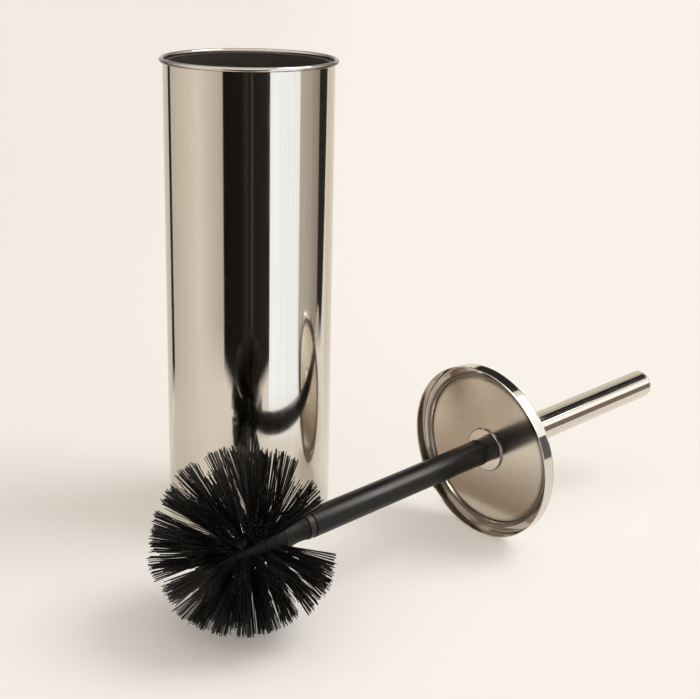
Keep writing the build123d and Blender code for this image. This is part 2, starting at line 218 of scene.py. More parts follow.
class Finishes(PropertyGroup):
    """Colours of the materials."""

    steel: colour("Steel", "Polished steel", (0.71, 0.66, 0.60))
    satin: colour("Satin steel", "Inner plate", (0.76, 0.68, 0.58))
    washer: colour("Washer steel", "Bright washer", (0.96, 0.89, 0.79))
    shaft: colour("Shaft", "Black plastic of the shaft", (0.007, 0.007, 0.007))
    liner: colour("Liner", "Black plastic of the liner", (0.028, 0.025, 0.0225))
    bristle: colour("Bristle", "Black bristles", (0.006, 0.0058, 0.0056))
    core: colour("Core", "Dark plastic of the head's core", (0.007, 0.0067, 0.0064))
    ring: colour("Ring", "Grey plastic of the neck ring", (0.014, 0.012, 0.010))
    rubber: colour("Rubber", "Floor pad and gasket", (0.016, 0.016, 0.016))


class StudioSettings(PropertyGroup):
    """Camera, light and floor."""

    camera: FloatVectorProperty(
        name="Camera", description="Place of the camera", default=(-0.45866, -0.61342, 0.36604),
        subtype="TRANSLATION", unit="LENGTH",
    )
    heading: bearing("Heading", "Turn of the camera from +Y towards +X", 41.35)
    tilt: bearing("Tilt", "How far the camera looks down", 16.16)
    roll: bearing("Roll", "Turn of the camera about its view", 1.254)
    lens: FloatProperty(name="Lens", description="Focal length in millimetres", default=67.44)
    rise: FloatProperty(name="Rise", description="Vertical shift of the camera", default=-0.0857)
    floor: colour("Floor", "Pale floor", (0.726, 0.725, 0.714))
    floor_glow: colour("Floor glow", "Colour of the light that lifts the shadows", (0.956, 0.89, 0.81))
    floor_lift: share("Floor lift", "Strength of the light that lifts the shadows", 0.22)
    backdrop: colour("Backdrop", "What reflections see round the set", (0.93, 0.868, 0.80))
    even_light: colour("Even light", "Colour of the even light", (1.0, 0.86, 0.74))
    ambient: share("Ambient", "Strength of the even light", 0.34, 4.0)
    key_light: colour("Key light", "Colour of the key light", (0.96, 0.97, 1.0))
    key: share("Key", "Strength of the soft key light", 1.18, 20.0)
    fill_light: colour("Fill light", "Colour of the front fill", (1.0, 0.95, 0.88))
    fill: share("Fill", "Strength of the front fill", 1.38, 20.0)
    fill_spread: bearing("Fill spread", "Apparent width of the fill light", 110)
    key_spread: bearing("Key spread", "Apparent width of the key light", 34)


class BrushHolderSettings(PropertyGroup):
    """Every setting of the brush holder."""

    canister: PointerProperty(type=CanisterSizes)
    lid: PointerProperty(type=LidSizes)
    grip: PointerProperty(type=GripSizes)
    shaft: PointerProperty(type=ShaftSizes)
    head: PointerProperty(type=HeadSizes)
    finish: PointerProperty(type=Finishes)
    studio: PointerProperty(type=StudioSettings)


def settings(context):
    """The brush holder's settings in this scene."""
    return context.scene.brush_holder


# Outlines and turned pieces


def fillet_points(corner, before, after, radius):
    """Points of the arc that rounds one corner of an outline, with a support point at each end."""
    back = (before - corner).normalized()
    ahead = (after - corner).normalized()
    half = back.angle(ahead) / 2
    room = radius / math.tan(half)
    centre = corner + (back + ahead).normalized() * (radius / math.sin(half))
    start = corner + back * room - centre
    sweep = math.pi - 2 * half
    turn = sweep if back.x * ahead.y - back.y * ahead.x < 0 else -sweep
    arc = [
        centre + Matrix.Rotation(turn * step / FILLET_STEPS, 2) @ start
        for step in range(FILLET_STEPS + 1)
    ]
    points = []
    if (before - corner).length > room + 3 * FILLET_SUPPORT:
        points.append(arc[0] + back * FILLET_SUPPORT)
    points += arc
    if (after - corner).length > room + 3 * FILLET_SUPPORT:
        points.append(arc[-1] + ahead * FILLET_SUPPORT)
    return points


def rounded(corners, closed=True):
    """An outline from corners (radius, station, fillet), with each filleted corner as an arc."""
    points = []
    count = len(corners)
    for index, (across, along, fillet) in enumerate(corners):
        corner = Vector((across, along))
        at_end = not closed and index in (0, count - 1)
        if at_end or fillet <= 0:
            points.append(corner)
            continue
        before = Vector(corners[index - 1][:2])
        after = Vector(corners[(index + 1) % count][:2])
        points += fillet_points(corner, before, after, fillet)
    return points


def band(inner, outer, low, high, edge):
    """The outline of a ring whose outer corners are rounded."""
    return rounded(((inner, low, 0.0), (outer, low, edge), (outer, high, edge), (inner, high, 0.0)))


def arc_points(centre, radius, start, end, steps):
    """Points on an arc of an outline, with angles in degrees."""
    points = []
    for step in range(steps + 1):
        angle = math.radians(start + (end - start) * step / steps)
        offset = Vector((math.cos(angle), math.sin(angle))) * radius
        points.append(Vector(centre) + offset)
    return points


def turned_mesh(outline, steps, place=LYING, closed=True):
    """A bmesh of an outline turned once about an axis; place is (origin, axis, radial direction)."""
    origin, axis, radial = place
    bm = bmesh.new()
    verts = [bm.verts.new(origin + radial * point[0] + axis * point[1]) for point in outline]
    pairs = list(zip(verts, verts[1:]))
    if closed:
        pairs.append((verts[-1], verts[0]))
    edges = [bm.edges.new(pair) for pair in pairs]
    bmesh.ops.spin(
        bm, geom=verts + edges, cent=origin, axis=axis, angle=2 * math.pi, steps=steps, use_merge=True
    )
    bmesh.ops.remove_doubles(bm, verts=bm.verts, dist=MERGE_DISTANCE)
    bmesh.ops.dissolve_degenerate(bm, edges=bm.edges, dist=SHORTEST_EDGE)
    bmesh.ops.recalc_face_normals(bm, faces=bm.faces)
    return bm


def smooth_shading(bm):
    """Smooth faces, with sharp edges only at real corners."""
    for face in bm.faces:
        face.smooth = True
    for edge in bm.edges:
        edge.smooth = len(edge.link_faces) == 2 and edge.calc_face_angle(0.0) < SHARP_ANGLE


def add_object(name, bm, material):
    """An object of a bmesh with one material."""
    mesh = bpy.data.meshes.new(name)
    bm.to_mesh(mesh)
    bm.free()
    mesh.materials.append(material)
    item = bpy.data.objects.new(name, mesh)
    bpy.context.scene.collection.objects.link(item)
    return item


def add_piece(name, bm, material, body, nodes):
    """A finished piece on a body that stands for CAD nodes."""
    smooth_shading(bm)
    piece = add_object(name, bm, material)
    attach(piece, body)
    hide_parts(*nodes)
    return piece


def dress(node, material):
    """Give a CAD node its finished material."""
    mesh = frame["nodes"][node].data
    mesh.materials.clear()
    mesh.materials.append(material)


# Shader groups and materials


def new_group(name, vectors, numbers, results):
    """A shader node group with named vector and number inputs and number results."""
    group = bpy.data.node_groups.new(name, "ShaderNodeTree")
    sockets = [(label, "INPUT", "NodeSocketVector") for label in vectors]
    sockets += [(label, "INPUT", "NodeSocketFloat") for label in numbers]
    sockets += [(label, "OUTPUT", "NodeSocketFloat") for label in results]
    for label, side, kind in sockets:
        group.interface.new_socket(label, in_out=side, socket_type=kind)
    start = group.nodes.new("NodeGroupInput")
    end = group.nodes.new("NodeGroupOutput")
    return group, start, end


def feed(tree, socket, value):
    """Give an input a plain value, or link it from another node's socket."""
    if isinstance(value, bpy.types.NodeSocket):
        tree.links.new(value, socket)
    else:
        socket.default_value = value


def wire(tree, node, **inputs):
    """Feed a node's inputs by their names, with an underscore for each space."""
    for label, value in inputs.items():
        feed(tree, node.inputs[label.replace("_", " ")], value)
    return node


def add_node(tree, kind, **inputs):
    """A node with its inputs fed by their names."""
    return wire(tree, tree.nodes.new(kind), **inputs)


def noise(tree, place, scale, detail, roughness=0.5):
    """A noise value at each place."""
    node = add_node(
        tree, "ShaderNodeTexNoise", Vector=place, Scale=scale, Detail=detail, Roughness=roughness
    )
    return node.outputs["Fac"]


def map_range(tree, source, low, high, from_low=0.0, from_high=1.0):
    """Stretch a value to a range, held at its ends; low and high are numbers or sockets."""
    node = add_node(
        tree, "ShaderNodeMapRange",
        Value=source, From_Min=from_low, From_Max=from_high, To_Min=low, To_Max=high,
    )
    return node.outputs["Result"]


def calculate(tree, operation, first, second):
    """The result of an operation on a number socket and a number or another socket."""
    node = tree.nodes.new("ShaderNodeMath")
    node.operation = operation
    feed(tree, node.inputs[0], first)
    feed(tree, node.inputs[1], second)
    return node.outputs[0]


def product(tree, first, second):
    """The product of two number sockets."""
    return calculate(tree, "MULTIPLY", first, second)


# Ranges of a noise value that the polish, the rub and its dust take up
NOISE_RANGE = (0.3, 0.7)
POLISH_RANGE = (0.12, 0.42)
DUST_RANGE = (0.35, 0.75)


def polish_lines_group():
    """Fine lines left by polishing, and faint smudges, as a roughness, a height and a tone."""
    group, start, end = new_group(
        "Polish Lines", ("Lines", "Place"), ("Smooth", "Worn"), ("Roughness", "Height", "Tone")
    )
    lines = noise(group, start.outputs["Lines"], scale=1.0, detail=4.0, roughness=0.65)
    smudge = noise(group, start.outputs["Place"], scale=26.0, detail=5.0, roughness=0.6)
    polish = product(group, lines, smudge)
    rough = map_range(group, polish, start.outputs["Smooth"], start.outputs["Worn"], *POLISH_RANGE)
    tone = map_range(group, lines, 0.0, 1.0, *NOISE_RANGE)
    wire(group, end, Roughness=rough, Height=lines, Tone=tone)
    return group


def moulded_grain_group():
    """Fine moulded grain with dust and rub, as a tone, a roughness and a height."""
    group, start, end = new_group(
        "Moulded Grain",
        ("Place",), ("Grain Scale", "Smooth", "Rubbed"), ("Tone", "Roughness", "Height"),
    )
    grain = noise(group, start.outputs["Place"], start.outputs["Grain Scale"], detail=3.0)
    rub = noise(group, start.outputs["Place"], scale=55.0, detail=6.0, roughness=0.7)
    rough = map_range(group, rub, start.outputs["Smooth"], start.outputs["Rubbed"], *NOISE_RANGE)
    tone = map_range(group, rub, 0.0, 1.0, *DUST_RANGE)
    wire(group, end, Tone=tone, Roughness=rough, Height=grain)
    return group


def add_group(tree, name, build, **inputs):
    """A node of a shader group, which is built once and shared, with its inputs fed by their names."""
    node = tree.nodes.new("ShaderNodeGroup")
    node.node_tree = bpy.data.node_groups.get(name) or build()
    return wire(tree, node, **inputs)


def new_material(name):
    """A node material with its tree, its Principled shader and its object coordinates."""
    material = bpy.data.materials.new(name)
    material.use_nodes = True
    tree = material.node_tree
    shader = tree.nodes["Principled BSDF"]
    coordinates = tree.nodes.new("ShaderNodeTexCoord").outputs["Object"]
    return material, tree, shader, coordinates


# Colour sockets of a mix node, which shares their names with its number sockets
MIX_FIRST = 6
MIX_SECOND = 7
MIX_RESULT = 2


def mixed(tree, factor, first, second, blend="MIX"):
    """A colour socket that mixes two colours or colour sockets by a mask."""
    mix = tree.nodes.new("ShaderNodeMix")
    mix.data_type = "RGBA"
    mix.blend_type = blend
    feed(tree, mix.inputs["Factor"], factor)
    feed(tree, mix.inputs[MIX_FIRST], first)
    feed(tree, mix.inputs[MIX_SECOND], second)
    return mix.outputs[MIX_RESULT]


def bumped(tree, height, strength, distance):
    """A normal that follows a height."""
    node = add_node(tree, "ShaderNodeBump", Height=height, Strength=strength, Distance=distance)
    return node.outputs["Normal"]


def opaque(rgb, factor=1.0):
    """A colour made darker or lighter, with full cover."""
    return (*(min(1.0, channel * factor) for channel in rgb), 1.0)


class Steel(NamedTuple):
    """A steel by its colour setting, its polish lines and its roughness from smooth to worn.

    The lines follow the stretch and turn of object space, and relief is the strength of their bump.
    """

    name: str
    tone: str
    stretch: tuple
    smooth: float
    worn: float
    turn: tuple = (0.0, 0.0, 0.0)
    relief: float = 0.0


class Plastic(NamedTuple):
    """A plastic by its colour setting, its grain and its roughness from smooth to rubbed.

    Relief is the strength of the grain's bump, dust how much paler the rubbed parts are.
    """

    name: str
    tone: str
    grain: float
    smooth: float
    rubbed: float
    relief: float = 0.2
    dust: float = 1.5
    gloss: float = 0.5


LINE_FINE = 900.0
LINE_LONG = 5.0
LINE_RELIEF = 0.06
LINE_TONES = (0.96, 1.03)
LINE_DEPTH = 0.00002
GRIP_LEAN = (0.0, math.asin(BRUSH_DIR.z), 0.0)
CANISTER_STEEL = Steel(
    "Canister Steel", "steel", (LINE_FINE, LINE_FINE, LINE_LONG), 0.045, 0.10, relief=LINE_RELIEF
)
GRIP_STEEL = Steel(
    "Grip Steel", "steel", (LINE_LONG, LINE_FINE, LINE_FINE), 0.05, 0.13, GRIP_LEAN, LINE_RELIEF
)
LID_STEEL = Steel("Lid Steel", "steel", (300.0,) * 3, 0.06, 0.10)
PLATE_STEEL = Steel("Plate Steel", "satin", (420.0,) * 3, 0.15, 0.18)
WASHER_STEEL = Steel("Washer Steel", "washer", (420.0,) * 3, 0.12, 0.15)
BASE_STEEL = Steel("Base Steel", "steel", (600.0,) * 3, 0.24, 0.3)

GRAIN_DEPTH = 0.00005
PLASTIC_SHINE = (1.0, 0.93, 0.87, 1.0)
SHAFT_PLASTIC = Plastic("Shaft Plastic", "shaft", 2600.0, 0.27, 0.34, gloss=0.19)
LINER_PLASTIC = Plastic("Liner Plastic", "liner", 1500.0, 0.5, 0.65)
CORE_PLASTIC = Plastic("Core Plastic", "core", 1800.0, 0.4, 0.52, gloss=0.12)
RING_PLASTIC = Plastic("Ring Plastic", "ring", 1800.0, 0.3, 0.42, dust=1.15, gloss=0.3)
PAD_RUBBER = Plastic("Pad Rubber", "rubber", 900.0, 0.7, 0.85, relief=0.35)
BRISTLE_NYLON = Plastic("Bristle Nylon", "bristle", 3000.0, 0.24, 0.36, dust=1.7, gloss=0.42)


def steel_material(context, steel):
    """Polished or satin steel with its fine lines."""
    existing = bpy.data.materials.get(steel.name)
    if existing:
        return existing
    material, tree, shader, place = new_material(steel.name)
    base = getattr(settings(context).finish, steel.tone)
    mapping = add_node(
        tree, "ShaderNodeMapping", Vector=place, Rotation=steel.turn, Scale=steel.stretch
    )
    polish = add_group(
        tree, "Polish Lines", polish_lines_group,
        Lines=mapping.outputs["Vector"], Place=place, Smooth=steel.smooth, Worn=steel.worn,
    ).outputs
    dark, pale = (opaque(base, factor) for factor in LINE_TONES)
    wire(
        tree, shader, Metallic=1.0, Roughness=polish["Roughness"],
        Base_Color=mixed(tree, polish["Tone"], dark, pale),
        Normal=bumped(tree, polish["Height"], steel.relief, LINE_DEPTH),
    )
    return material


def plastic_material(context, plastic):
    """Moulded plastic or rubber with a fine grain and a faint rub."""
    existing = bpy.data.materials.get(plastic.name)
    if existing:
        return existing
    material, tree, shader, place = new_material(plastic.name)
    base = getattr(settings(context).finish, plastic.tone)
    mould = add_group(
        tree, "Moulded Grain", moulded_grain_group,
        Place=place, Grain_Scale=plastic.grain, Smooth=plastic.smooth, Rubbed=plastic.rubbed,
    ).outputs
    wire(
        tree, shader, Roughness=mould["Roughness"],
        Base_Color=mixed(tree, mould["Tone"], opaque(base), opaque(base, plastic.dust)),
        Specular_IOR_Level=plastic.gloss, Specular_Tint=PLASTIC_SHINE,
        Normal=bumped(tree, mould["Height"], plastic.relief, GRAIN_DEPTH),
    )
    return material


def darken(material, shade):
    """Multiply a material's colour by a number socket, which paints shade into it."""
    tree = material.node_tree
    colour_in = tree.nodes["Principled BSDF"].inputs["Base Color"]
    plain = colour_in.links[0].from_socket
    tree.links.new(mixed(tree, 1.0, plain, shade, "MULTIPLY"), colour_in)


def vector_math(tree, operation, first, second=(0.0, 0.0, 0.0)):
    """The outputs of an operation on a vector socket and a vector."""
    node = tree.nodes.new("ShaderNodeVectorMath")
    node.operation = operation
    feed(tree, node.inputs[0], first)
    feed(tree, node.inputs[1], second)
    return node.outputs


# The rolled bead's painted shade starts and is full so many bead radii below its top, where it faces
# away
BEAD_SHADE = (2.2, 1.9)
BEAD_FACING = (0.24, 0.6)
BEAD_SHADE_TONE = 0.12
# Tone of the painted shade beside the lid plate's ridge
CREASE_SHADE_TONE = 0.3
# Tone of the painted shade at the washer's edge
WASHER_EDGE_SHADE_TONE = 0.28


def paint_bead_shade(material, low, high, tone):
    """Paint shade on a rolled bead between two heights where it turns away from the view."""
    tree = material.node_tree
    place = tree.nodes.new("ShaderNodeTexCoord").outputs["Object"]
    parts = add_node(tree, "ShaderNodeSeparateXYZ", Vector=place)
    on_bead = map_range(tree, parts.outputs["Z"], 0.0, 1.0, low, high)
    facing = tree.nodes.new("ShaderNodeLayerWeight").outputs["Facing"]
    turned = map_range(tree, facing, 0.0, 1.0, *BEAD_FACING)
    darken(material, map_range(tree, product(tree, on_bead, turned), 1.0, tone))


def paint_ring_shade(material, inner, outer, tone):
    """Paint shade into a material towards an outer radius about the brush's axis."""
    tree = material.node_tree
    place = tree.nodes.new("ShaderNodeTexCoord").outputs["Object"]
    from_lid = vector_math(tree, "SUBTRACT", place, LID_CENTRE)["Vector"]
    off_axis = vector_math(tree, "CROSS_PRODUCT", from_lid, BRUSH_DIR)["Vector"]
    distance = vector_math(tree, "LENGTH", off_axis)["Value"]
    darken(material, map_range(tree, distance, 1.0, tone, inner, outer))


def canister_steel(context):
    """Polished steel with fine lines up the canister, and painted shade on its rolled rim where it turns
    away from the view.
    """
    size = settings(context).canister
    material = steel_material(context, CANISTER_STEEL)
    low, high = (size.height - size.bead * radii for radii in BEAD_SHADE)
    paint_bead_shade(material, low, high, BEAD_SHADE_TONE)
    return material


def plate_steel(context):
    """Satin steel of the lid's inner plate, with painted shade where the plate turns up into its ridge.
    """
    size = settings(context).lid
    material = steel_material(context, PLATE_STEEL)
    edge = size.ridge_radius - size.ridge_width
    paint_ring_shade(material, edge - size.crease_shade, edge, CREASE_SHADE_TONE)
    return material


def washer_steel(context):
    """Bright satin steel of the lid's washer, with painted shade at its edge."""
    size = settings(context).lid
    material = steel_material(context, WASHER_STEEL)
    inner = size.washer_radius - size.washer * size.washer_shade
    outer = size.washer_radius - size.washer * size.washer_edge
    paint_ring_shade(material, inner, outer, WASHER_EDGE_SHADE_TONE)
    return material


# Pieces


class BRUSHHOLDER_OT_canister(Operator):
    """Turn the canister's wall with its rolled rim"""

    bl_idname = "brush_holder.canister"
    bl_label = "Canister"

    def execute(self, context):
        size = settings(context).canister
        inside = size.radius - size.wall
        bead_centre = (inside + size.bead, size.height - size.bead)
        seat = -math.degrees(math.acos((size.radius - bead_centre[0]) / size.bead))
        under_bead = bead_centre[1] + size.bead * math.sin(math.radians(seat))
        rim = arc_points(bead_centre, size.bead, 180.0, seat, RIM_STEPS)
        foot = rounded(
            (
                (size.radius, under_bead, 0.0),
                (size.radius, size.foot, size.edge),
                (inside, size.foot, size.edge),
                (inside, bead_centre[1], 0.0),
            ),
            closed=False,
        )
        bm = turned_mesh(rim + foot[1:-1], CANISTER_STEPS, UPRIGHT)
        steel = canister_steel(context)
        add_piece("canister_wall", bm, steel, "holder", ["holder_tube"])
        return {"FINISHED"}


class BRUSHHOLDER_OT_foot(Operator):
    """Finish the base dish, the floor pad and the lift-out liner"""

    bl_idname = "brush_holder.foot"
    bl_label = "Base, pad and liner"

    def execute(self, context):
        dress("holder_base", steel_material(context, BASE_STEEL))
        dress("floor_pad", plastic_material(context, PAD_RUBBER))
        dress("inner_liner", plastic_material(context, LINER_PLASTIC))
        return {"FINISHED"}


class BRUSHHOLDER_OT_lid(Operator):
    """Turn the lid's cover, its stepped inner plate and the washer"""

    bl_idname = "brush_holder.lid"
    bl_label = "Lid"

    def execute(self, context):
        size = settings(context).lid
        inside = size.radius - size.wall
        under = size.depth - size.wall
        lip = size.wall * size.lip
        cover = rounded(
            (
                (size.bore, under, 0.0),
                (inside, under, size.crown - size.wall),
                (inside, 0.0, lip),
                (size.radius, 0.0, lip),
                (size.radius, size.depth, size.crown),
                (size.bore, size.depth, 0.0),
            )
        )
        bm = turned_mesh(cover, LID_STEPS)
        steel = steel_material(context, LID_STEEL)
        add_piece("lid_shell", bm, steel, "brush", ["lid_cover"])

        plate_under = under - size.plate
        ridge_inside = size.ridge_radius - size.ridge_width
        ridge_low = plate_under - size.ridge_depth
        groove_outside = ridge_inside - size.ridge_slope
        groove_inside = groove_outside - size.groove
        groove_top = plate_under + size.plate * size.groove_depth
        plate = rounded(
            (
                (size.bore, plate_under, 0.0),
                (groove_inside, plate_under, size.groove_edge),
                (groove_inside, groove_top, 0.0),
                (groove_outside, groove_top, 0.0),
                (groove_outside, plate_under, 0.0),
                (ridge_inside, ridge_low, size.ridge_bend),
                (size.ridge_radius, ridge_low, size.ridge_bend),
                (size.ridge_radius, under, 0.0),
                (size.bore, under, 0.0),
            )
        )
        bm = turned_mesh(plate, LID_STEPS)
        steel = plate_steel(context)
        add_piece("lid_plate", bm, steel, "brush", ["lid_inner_plate"])

        washer_under = plate_under - size.washer
        washer = rounded(
            (
                (size.bore, washer_under, 0.0),
                (size.washer_radius, washer_under, size.washer * size.washer_edge),
                (size.washer_radius, plate_under, 0.0),
                (size.bore, plate_under, 0.0),
            )
        )
        bm = turned_mesh(washer, TUBE_STEPS)
        steel = washer_steel(context)
        add_piece("lid_centre_washer", bm, steel, "brush", ["lid_washer"])
        return {"FINISHED"}


class BRUSHHOLDER_OT_grip(Operator):
    """Turn the steel grip and its domed end, and finish what is inside it"""

    bl_idname = "brush_holder.grip"
    bl_label = "Grip"

    def execute(self, context):
        size = settings(context).grip
        inside = size.radius - size.wall
        seam = size.end - size.cap
        tube = rounded(
            (
                (inside, GRIP_START, size.edge),
                (size.radius, GRIP_START, size.edge),
                (size.radius, seam, size.edge),
                (inside, seam, 0.0),
            )
        )
        steel = steel_material(context, GRIP_STEEL)
        bm = turned_mesh(tube, TUBE_STEPS)
        add_piece("grip_sleeve", bm, steel, "grip", ["grip_tube"])
        cap = rounded(
            (
                (0.0, size.end, 0.0),
                (size.radius, size.end, size.dome),
                (size.radius, seam, size.edge),
                (inside, seam, 0.0),
                (inside, seam - size.spigot, 0.0),
                (0.0, seam - size.spigot, 0.0),
            ),
            closed=False,
        )
        bm = turned_mesh(cap, TUBE_STEPS, closed=False)
        add_piece("grip_end", bm, steel, "grip", ["grip_cap"])
        dress("grip_plug", plastic_material(context, SHAFT_PLASTIC))
        dress("grip_gasket", plastic_material(context, PAD_RUBBER))
        return {"FINISHED"}


class BRUSHHOLDER_OT_shaft(Operator):
    """Turn the black shaft with its ribbed collar, and finish the stud and the stub"""

    bl_idname = "brush_holder.shaft"
    bl_label = "Shaft"

    def execute(self, context):
        size = settings(context).shaft
        lid = settings(context).lid
        washer_under = lid.depth - lid.wall - lid.plate - lid.washer
        beads_top = washer_under - size.collar_neck_length
        groove_top = beads_top - size.bead_length
        groove_low = groove_top - size.groove_length
        shaft_top = groove_low - size.bead_length
        crown = size.bead_length * size.bead_crown
        plastic = plastic_material(context, SHAFT_PLASTIC)
        collar = rounded(
            (
                (size.stud, washer_under, 0.0),
                (size.collar_neck, washer_under, size.collar_edge),
                (size.collar_neck, beads_top, size.collar_edge),
                (size.bead_radius, beads_top, crown),
                (size.bead_radius, groove_top, crown),
                (size.groove_radius, groove_top, 0.0),
                (size.groove_radius, groove_low, 0.0),
                (size.bead_radius, groove_low, crown),
                (size.bead_radius, shaft_top, crown),
                (size.bore, shaft_top, 0.0),
                (size.bore, shaft_top - size.collar_spigot, 0.0),
                (size.stud, shaft_top - size.collar_spigot, 0.0),
            )
        )
        bm = turned_mesh(collar, CORE_STEPS)
        add_piece("shaft_ribbed_collar", bm, plastic, "brush", ["shaft_collar"])
        tube = band(size.bore, size.radius, -size.end, shaft_top, size.edge)
        bm = turned_mesh(tube, TUBE_STEPS)
        add_piece("shaft_sleeve", bm, plastic, "brush", ["shaft_tube"])
        dress("shaft_end_plug", plastic)
        dress("tie_stud", steel_material(context, BASE_STEEL))
        return {"FINISHED"}


class BRUSHHOLDER_OT_neck(Operator):
    """Turn the neck ring, the head's core and its nose"""

    bl_idname = "brush_holder.neck"
    bl_label = "Neck and core"

    def execute(self, context):
        shaft = settings(context).shaft
        size = settings(context).head
        ring_low = -shaft.end - shaft.ring_length
        ring = band(shaft.ring_bore, shaft.ring_radius, ring_low, -shaft.end, shaft.ring_edge)
        bm = turned_mesh(ring, TUBE_STEPS)
        plastic = plastic_material(context, RING_PLASTIC)
        add_piece("neck_band", bm, plastic, "head_seal", ["neck_ring"])

        core_top = ring_low - size.neck_length
        core_tip = core_top - row_count() * size.row_pitch
        waist = ring_low - size.neck_length * size.waist_share
        core = rounded(
            (
                (0.0, ring_low - size.socket_depth, 0.0),
                (size.socket_radius, ring_low - size.socket_depth, 0.0),
                (size.socket_radius, ring_low, size.socket_edge),
                (size.neck_radius, ring_low, size.neck_edge),
                (size.waist_radius, waist, size.waist_bend),
                (size.core_radius, core_top, size.shoulder),
                (size.spine_radius, core_top, 0.0),
                (size.spine_radius, core_tip - size.spine_tip, 0.0),
                (0.0, core_tip - size.spine_tip, 0.0),
            ),
            closed=False,
        )
        plastic = plastic_material(context, CORE_PLASTIC)
        bm = turned_mesh(core, CORE_STEPS, closed=False)
        add_piece("head_neck", bm, plastic, "head", ["head_core"])
        nose = rounded(
            (
                (size.spine_radius, core_tip - size.spine_tip, 0.0),
                (size.spine_radius, core_tip, 0.0),
                (size.core_radius, core_tip, 0.0),
                (size.core_radius, core_tip - size.nose, size.nose_dome),
                (0.0, core_tip - size.nose, 0.0),
            ),
            closed=False,
        )
        bm = turned_mesh(nose, CORE_STEPS, closed=False)
        add_piece("head_tip", bm, plastic, "head", ["head_nose"])
        return {"FINISHED"}


# Bristle rows by their lean towards the nose in degrees
ROW_LEANS = (-15.0, -4.0, 8.0, 22.0, 38.0, 58.0)
FIRST_COLUMN = math.radians(-44.0)
# The parting is a gap in the bristles through which the core shows
PARTING = math.radians(-62.0)
PARTING_SHIFTS = tuple(math.radians(shift) for shift in (15.0, 13.0, 10.0, 6.0, 2.0, -2.0))
PARTING_FADE = math.radians(36.0)
FAN_SPREAD = math.tan(math.radians(11.0))
FAN_LEAN = math.tan(math.radians(6.0))
GOLDEN_TURN = math.pi * (3.0 - math.sqrt(5.0))
FAN_JITTER = 0.12
# Most bristles keep to their tuft's fan and a few stray outside it
FAN_STRAYS = (1.0, 1.5)
FAN_STRAY_WEIGHTS = (0.92, 0.08)
FILAMENT_POINTS = 5
FILAMENT_TAPER = 0.14
FLOOR_GAP = 0.0003
SLICE_SLOT = 1


def row_count():
    """Number of bristle rows along the core."""
    return len(ROW_LEANS)


def part_columns(turn, shift):
    """Push the columns beside the parting apart, so that the core shows between them."""
    off = math.remainder(turn - PARTING, 2 * math.pi)
    return turn + math.copysign(1.0, off) * shift * math.exp(-abs(off) / PARTING_FADE)


def reach_of_ball(start, heading, centre, radius):
    """Distance from a point along a heading to the ball of trimmed tips."""
    to_centre = centre - start
    along = to_centre.dot(heading)
    return along + math.sqrt(radius**2 - to_centre.length_squared + along**2)


def rest_on_floor(point, outward):
    """Bend a point that would pass through the floor outwards along it."""
    depth = FLOOR_GAP - point.z
    if depth <= 0:
        return point
    slide = Vector((outward.x, outward.y, 0.0))
    return Vector((point.x, point.y, FLOOR_GAP)) + slide * depth


def tuft_paths(draw, size, root, lean, across, along, centre):
    """Paths of the bristles of one tuft, fanned from its hole in the core."""
    paths = []
    ball = size.ball * (1.0 - size.tuft_trim * draw.random())
    first_turn = draw.uniform(0.0, 2.0 * math.pi)
    depth = size.hole * size.hole_share
    for number in range(size.filaments):
        turn = first_turn + GOLDEN_TURN * number + draw.gauss(0.0, FAN_JITTER)
        spread = math.sqrt((number + draw.random()) / size.filaments)
        fan_across = spread * math.cos(turn)
        fan_along = spread * math.sin(turn)
        start = root + across * (fan_across * size.hole) + along * (fan_along * depth)
        start = start - lean * depth
        stray = draw.choices(FAN_STRAYS, FAN_STRAY_WEIGHTS)[0]
        fan = across * (fan_across * FAN_SPREAD) + along * (fan_along * FAN_LEAN)
        heading = (lean + fan * stray).normalized()
        trimmed = ball * (1.0 - size.trim * draw.random())
        reach = reach_of_ball(start, heading, centre, trimmed)
        bend = (across * draw.gauss(0.0, 1.0) + along * draw.gauss(0.0, 1.0)) * (size.sway * reach)
        path = []
        for step in range(FILAMENT_POINTS):
            travel = step / (FILAMENT_POINTS - 1)
            point = start + heading * (reach * travel) + bend * (travel * travel)
            path.append(rest_on_floor(point, heading))
        paths.append(path)
    return paths


def filament_mesh(name, paths, radius):
    """A mesh of square-sectioned bristles that follow the paths and thin a little to their tips."""
    curve = bpy.data.curves.new(name, "CURVE")
    curve.dimensions = "3D"
    curve.bevel_depth = radius
    curve.bevel_resolution = 0
    curve.use_fill_caps = True
    for path in paths:
        spline = curve.splines.new("POLY")
        spline.points.add(len(path) - 1)
        for index, (point, place) in enumerate(zip(spline.points, path)):
            point.co = (*place, 1.0)
            point.radius = 1.0 - FILAMENT_TAPER * index / (len(path) - 1)
    carrier = bpy.data.objects.new(name, curve)
    mesh = bpy.data.meshes.new_from_object(carrier)
    bpy.data.objects.remove(carrier)
    bpy.data.curves.remove(curve)
    return mesh


